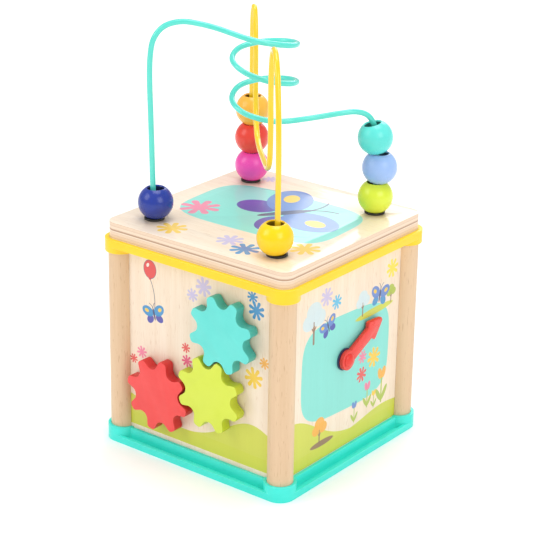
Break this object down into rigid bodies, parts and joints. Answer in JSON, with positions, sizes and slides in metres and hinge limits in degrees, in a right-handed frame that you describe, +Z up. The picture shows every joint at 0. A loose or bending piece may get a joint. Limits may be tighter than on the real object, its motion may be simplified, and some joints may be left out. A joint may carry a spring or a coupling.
{
  "type": "activity cube",
  "caption": "Wooden activity cube with meshing gears, a dial pointer, sliders, a spinning disc and beads on two bent wires on the lid.",
  "frame": {"origin": "centre of the base tray's underside, on the table", "axes": "+Z up; -Y is the gear side; +X is the dial side; +Y is the spinning disc side; -X is the slider side"},
  "size_m": [0.16, 0.16, 0.2979],
  "materials": {
    "turquoise_plastic": "satin",
    "yellow_plastic": "satin",
    "beech": "satin",
    "birch_ply": "satin",
    "steel": "satin",
    "turquoise_paint_wood": "satin",
    "lime_paint_wood": "satin",
    "red_paint_wood": "satin",
    "red_plastic": "gloss",
    "navy_plastic": "satin",
    "white_plastic": "satin",
    "turquoise_wire": "satin",
    "yellow_wire": "satin",
    "black_plastic": "satin",
    "orange_paint_wood": "satin",
    "blue_paint_wood": "satin",
    "cream_paint_wood": "satin",
    "navy_paint_wood": "satin",
    "yellow_paint_wood": "satin",
    "sky_paint_wood": "satin",
    "aqua_paint_wood": "satin",
    "magenta_paint_wood": "satin"
  },
  "bodies": {
    "frame": {"base_tray": "turquoise_plastic", "base_board": "birch_ply", "base_board_screws": "steel", "post_screws_low": "steel", "post_front": "beech", "post_left": "beech", "post_right": "beech", "post_back": "beech", "panel_gears": "birch_ply", "panel_dial": "birch_ply", "panel_spin": "birch_ply", "panel_slide": "birch_ply", "top_frame": "yellow_plastic", "post_screws_high": "steel", "lid_board": "birch_ply", "lid_screws": "steel", "wire_turquoise": "turquoise_wire", "wire_yellow": "yellow_wire", "wire_ferrules": "steel", "wire_washers": "black_plastic"},
    "gear_turquoise": {"gear_turquoise": "turquoise_paint_wood", "gear_turquoise_pin": "beech", "gear_turquoise_clip": "white_plastic"},
    "gear_lime": {"gear_lime": "lime_paint_wood", "gear_lime_pin": "beech", "gear_lime_clip": "white_plastic"},
    "gear_red": {"gear_red": "red_paint_wood", "gear_red_pin": "beech", "gear_red_clip": "white_plastic"},
    "pointer": {"dial_arrow": "red_plastic", "dial_spacer": "navy_plastic", "dial_pin": "red_plastic", "dial_clip": "white_plastic"},
    "slider_low": {"slider_low_knob": "orange_paint_wood", "slider_low_stem": "white_plastic"},
    "slider_high": {"slider_high_knob": "blue_paint_wood", "slider_high_stem": "white_plastic"},
    "spinner": {"spin_disc": "cream_paint_wood", "spin_peg": "red_paint_wood", "spin_pin": "red_plastic", "spin_clip": "white_plastic"},
    "bead_navy": {"bead_navy": "navy_paint_wood"},
    "bead_yellow": {"bead_yellow": "yellow_paint_wood"},
    "bead_lime": {"bead_lime": "lime_paint_wood"},
    "bead_sky": {"bead_sky": "sky_paint_wood"},
    "bead_turquoise": {"bead_turquoise": "aqua_paint_wood"},
    "bead_magenta": {"bead_magenta": "magenta_paint_wood"},
    "bead_red": {"bead_red": "red_paint_wood"},
    "bead_orange": {"bead_orange": "orange_paint_wood"}
  },
  "joints": [
    {"name": "gear_lime_spin", "type": "hinge", "parent": "frame", "child": "gear_lime", "pos_m": [0.0155, -0.0757, 0.06], "axis": [0, -1, 0], "continuous": true},
    {"name": "gear_turquoise_spin", "type": "hinge", "parent": "frame", "child": "gear_turquoise", "pos_m": [0.02567, -0.0757, 0.10589], "axis": [0, -1, 0], "continuous": true},
    {"name": "gear_red_spin", "type": "hinge", "parent": "frame", "child": "gear_red", "pos_m": [-0.0294, -0.0757, 0.0461], "axis": [0, -1, 0], "continuous": true},
    {"name": "pointer_spin", "type": "hinge", "parent": "frame", "child": "pointer", "pos_m": [0.074, -0.0035, 0.0765], "axis": [1, 0, 0], "continuous": true},
    {"name": "slider_low_slide", "type": "slide", "parent": "frame", "child": "slider_low", "axis": [0, -1, 0], "range_m": [0, 0.08]},
    {"name": "slider_high_slide", "type": "slide", "parent": "frame", "child": "slider_high", "axis": [0, 1, 0], "range_m": [0, 0.08]},
    {"name": "spinner_spin", "type": "hinge", "parent": "frame", "child": "spinner", "pos_m": [0, 0.0745, 0.077], "axis": [0, 1, 0], "continuous": true},
    {"name": "bead_navy_slide", "type": "slide", "parent": "frame", "child": "bead_navy", "axis": [0, 0, 1], "range_m": [0, 0.045]},
    {"name": "bead_yellow_slide", "type": "slide", "parent": "frame", "child": "bead_yellow", "axis": [0, 0, 1], "range_m": [0, 0.035]},
    {"name": "bead_magenta_slide", "type": "slide", "parent": "frame", "child": "bead_magenta", "axis": [0, 0, 1], "range_m": [0, 0.016]},
    {"name": "bead_red_slide", "type": "slide", "parent": "bead_magenta", "child": "bead_red", "axis": [0, 0, 1], "range_m": [0, 0.008]},
    {"name": "bead_orange_slide", "type": "slide", "parent": "bead_red", "child": "bead_orange", "axis": [0, 0, 1], "range_m": [0, 0.008]},
    {"name": "bead_lime_spin", "type": "hinge", "parent": "frame", "child": "bead_lime", "pos_m": [0.05303, 0.05303, 0.1729], "axis": [0, 0, 1], "continuous": true},
    {"name": "bead_sky_spin", "type": "hinge", "parent": "frame", "child": "bead_sky", "pos_m": [0.05459, 0.05459, 0.19345], "axis": [0, 0, 1], "continuous": true},
    {"name": "bead_turquoise_spin", "type": "hinge", "parent": "frame", "child": "bead_turquoise", "pos_m": [0.05197, 0.05197, 0.2146], "axis": [-0.1711, -0.1711, 0.9703], "continuous": true}
  ],
  "couplings": [
    {"joint": "gear_turquoise_spin", "follows": "gear_lime_spin", "ratio": -1},
    {"joint": "gear_red_spin", "follows": "gear_lime_spin", "ratio": -1}
  ]
}
